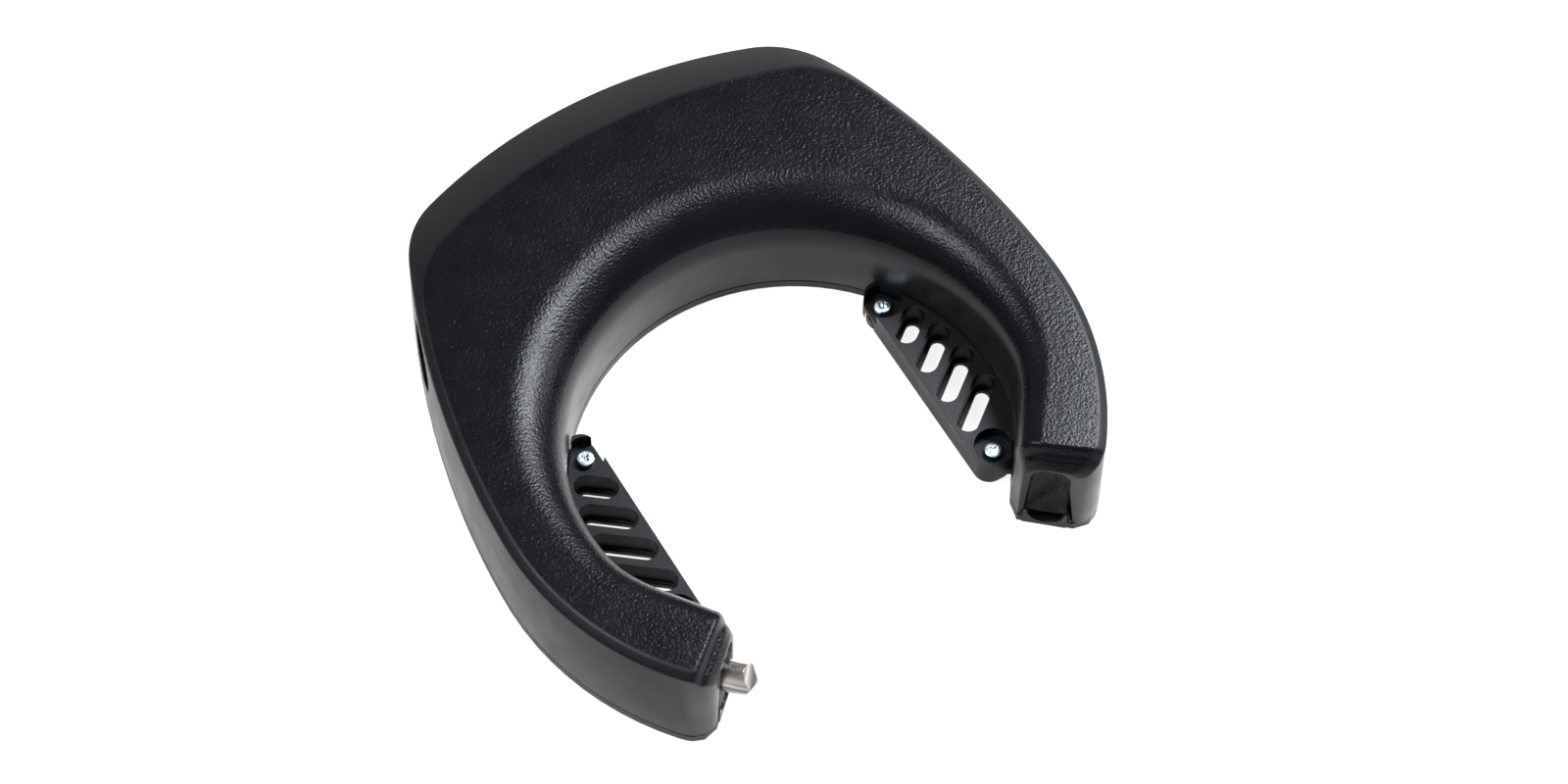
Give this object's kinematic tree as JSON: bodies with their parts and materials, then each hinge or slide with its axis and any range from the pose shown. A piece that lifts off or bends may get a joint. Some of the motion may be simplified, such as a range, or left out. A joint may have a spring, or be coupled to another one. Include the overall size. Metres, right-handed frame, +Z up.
{
  "type": "ring lock",
  "caption": "Motor-driven ring lock for a bicycle's rear wheel: horseshoe housing with a curved steel bolt, a receiver opening and two slotted frame brackets.",
  "frame": {"origin": "middle of the whole lock's underside", "axes": "+Z up through the flat top, +Y towards the head, -Y out of the gap between the arms"},
  "size_m": [0.1562, 0.1598, 0.0337],
  "materials": {
    "shell_plastic": "fine-grained black polycarbonate blend, satin side walls",
    "lower_plastic": "satin black moulded plastic",
    "bracket_plastic": "fine-grained black glass-filled nylon",
    "inner_plastic": "plain dark moulded plastic",
    "rubber": "matt black rubber",
    "stainless": "turned stainless steel",
    "zinc": "blue-passivated zinc",
    "spring_steel": "bare hardened steel",
    "brass": "machined brass",
    "acetal": "natural acetal",
    "board": "solder-masked circuit board",
    "chip": "black epoxy package",
    "cell": "shrink-wrapped cell"
  },
  "bodies": {
    "housing": {"upper_shell": "shell_plastic", "lower_shell": "lower_plastic", "shell_gasket": "rubber", "bolt_guide": "zinc", "receiver_channel": "zinc", "gear_axle": "stainless", "gearmotor_can": "zinc", "gearmotor_gearbox": "brass", "gear_bridge": "spring_steel", "bridge_screw_1": "zinc", "bridge_screw_2": "zinc", "battery_cell": "cell", "battery_cradle": "inner_plastic", "main_board": "board", "radio_module": "zinc", "motor_driver": "chip", "alarm_buzzer": "chip", "charge_socket": "zinc", "chain_socket": "spring_steel", "latch_spring": "spring_steel", "right_bracket": "bracket_plastic", "left_bracket": "bracket_plastic", "left_bracket_screw_1": "zinc", "left_bracket_screw_2": "zinc", "right_bracket_screw_1": "zinc", "right_bracket_screw_2": "zinc", "housing_screw_1": "zinc", "housing_screw_2": "zinc", "housing_screw_3": "zinc", "housing_screw_4": "zinc", "housing_screw_5": "zinc", "housing_screw_6": "zinc", "housing_screw_7": "zinc"},
    "bolt": {"ring_bolt": "stainless", "rack_sector": "spring_steel", "rack_rivet_1": "zinc", "rack_rivet_2": "zinc"},
    "reduction_gear": {"compound_gear": "acetal"},
    "motor_output": {"motor_gear": "brass"},
    "plug_latch": {"plug_latch": "stainless"},
    "charge_cap": {"charge_cap": "rubber"}
  },
  "joints": [
    {"name": "bolt_turn", "type": "hinge", "parent": "housing", "child": "bolt", "pos_m": [0, -0.03042, 0.0155], "axis": [0, 0, 1], "range_deg": [0, 96]},
    {"name": "gear_turn", "type": "hinge", "parent": "housing", "child": "reduction_gear", "pos_m": [-0.03332, 0.03789, 0.024], "axis": [0, 0, 1], "range_deg": [-1121, 1]},
    {"name": "motor_turn", "type": "hinge", "parent": "housing", "child": "motor_output", "pos_m": [-0.02144, 0.04977, 0.025], "axis": [0, 0, 1], "range_deg": [-1, 2801]},
    {"name": "latch_slide", "type": "slide", "parent": "housing", "child": "plug_latch", "axis": [0, 0, 1], "range_m": [-0.002, 0], "stiffness_N_per_m": 120, "deforming": ["latch_spring"]},
    {"name": "cap_slide", "type": "slide", "parent": "housing", "child": "charge_cap", "axis": [0.9814, 0.1918, 0], "range_m": [0, 0.008]}
  ],
  "couplings": [
    {"joint": "gear_turn", "follows": "bolt_turn", "ratio": -11.667},
    {"joint": "motor_turn", "follows": "bolt_turn", "ratio": 29.167}
  ]
}
